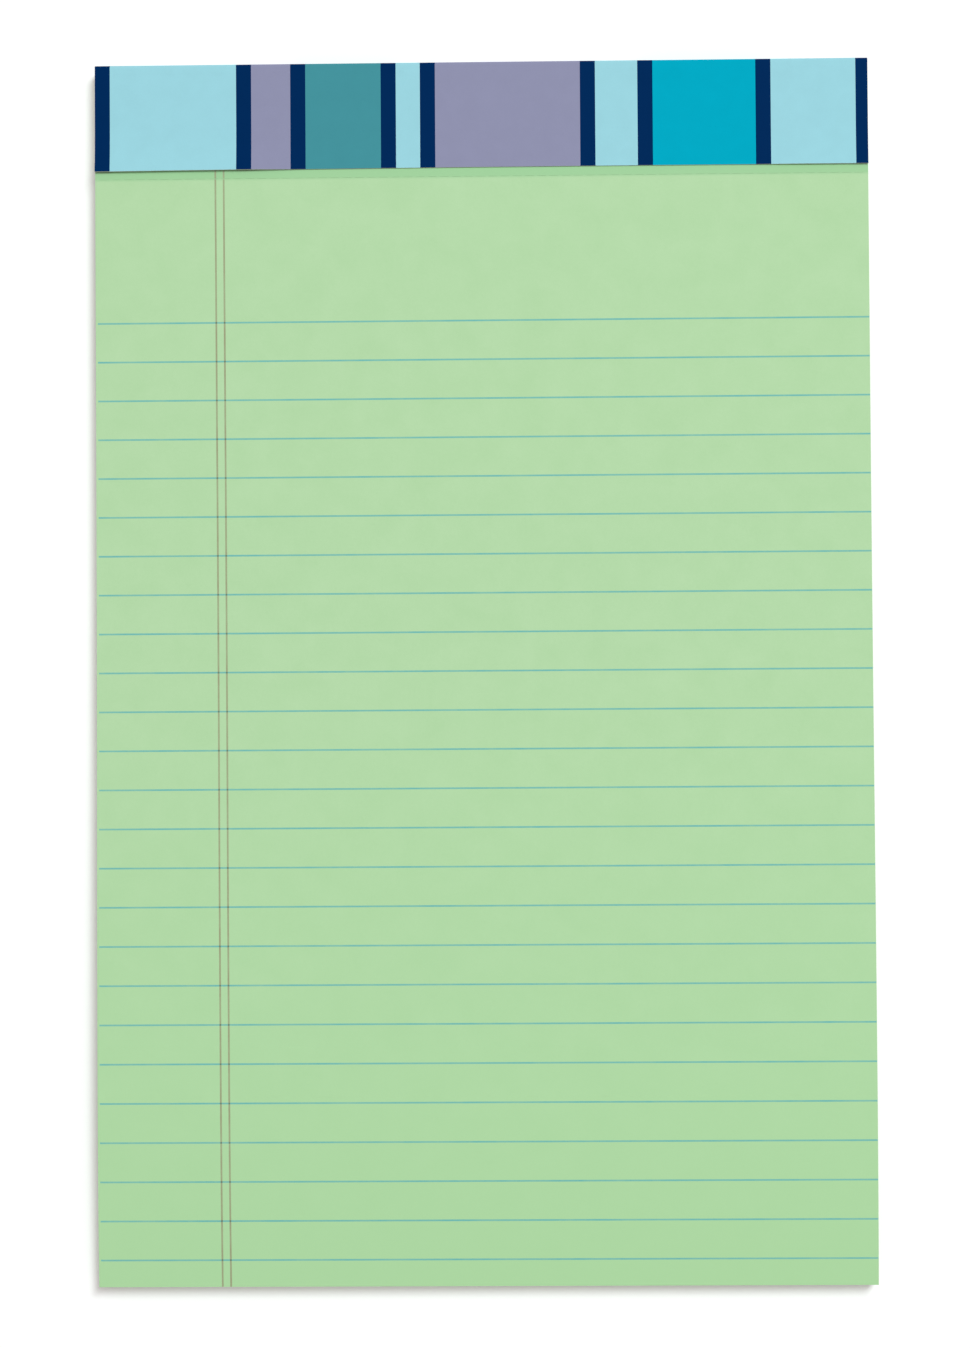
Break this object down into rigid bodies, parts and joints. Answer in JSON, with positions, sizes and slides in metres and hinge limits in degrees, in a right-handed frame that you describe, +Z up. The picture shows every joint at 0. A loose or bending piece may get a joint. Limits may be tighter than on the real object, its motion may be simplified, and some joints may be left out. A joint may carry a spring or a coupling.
{
  "type": "legal pad",
  "caption": "Small ruled legal pad with perforated green sheets, a chipboard back and wire stitches at the head under a folded striped strip.",
  "frame": {"origin": "on the surface that the pad lies on, under the middle of its bounding box", "axes": "+X to the right across the writing face, +Y along the pad towards its bound head, +Z up out of the writing face"},
  "size_m": [0.127, 0.2004, 0.0066],
  "materials": {
    "green_paper": "matt uncoated paper, ruled in blue-green with a double margin line",
    "chipboard": "matt grey-brown recycled board with flecks",
    "striped_strip": "smooth coated paper, printed with upright stripes",
    "stitching_wire": "drawn galvanized wire"
  },
  "bodies": {
    "root": {"writing_sheets": "green_paper", "backing_board": "chipboard", "binding_strip": "striped_strip", "staples": "stitching_wire"}
  },
  "joints": []
}
